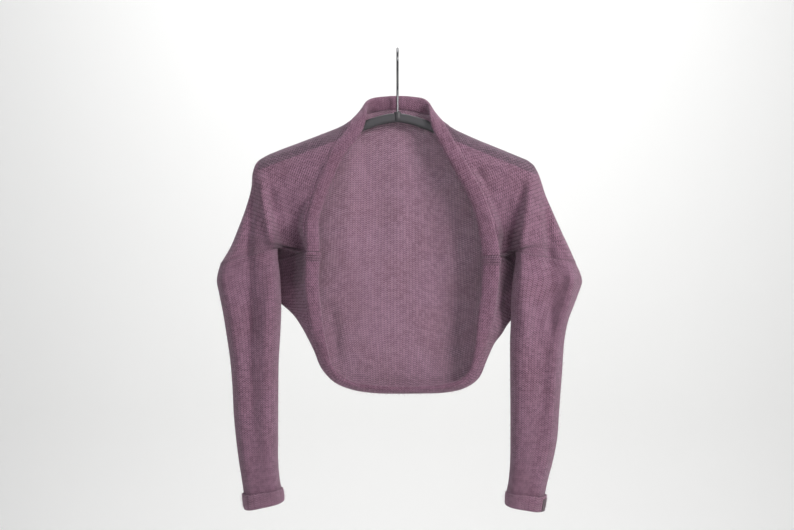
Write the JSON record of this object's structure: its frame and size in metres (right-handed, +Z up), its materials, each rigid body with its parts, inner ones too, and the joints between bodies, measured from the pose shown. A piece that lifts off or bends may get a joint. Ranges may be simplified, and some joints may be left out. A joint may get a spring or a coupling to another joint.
{
  "type": "knitted shrug on a hanger",
  "caption": "Cropped long-sleeved knitted shrug with one oval opening edged by a doubled band, hung on a moulded hanger with a wire hook.",
  "frame": {"origin": "inside top of the hanger's hook, where it rests on a peg or rail", "axes": "+Z up, +Y towards the wall behind, so the open front faces -Y, +X to the viewer's right"},
  "size_m": [0.5399, 0.0686, 0.6943],
  "materials": {
    "knit": "soft, slightly hairy knit",
    "band": "soft knit",
    "tab": "woven tape",
    "hanger": "satin moulded",
    "hook": "dark bright wire"
  },
  "bodies": {
    "root": {"body": "knit", "sleeve_left": "knit", "sleeve_right": "knit", "cuff_left": "knit", "cuff_right": "knit", "collar_band": "band", "hem_band": "band", "cuff_label": "tab", "hanger": "hanger", "hanger_hook": "hook"}
  },
  "joints": []
}
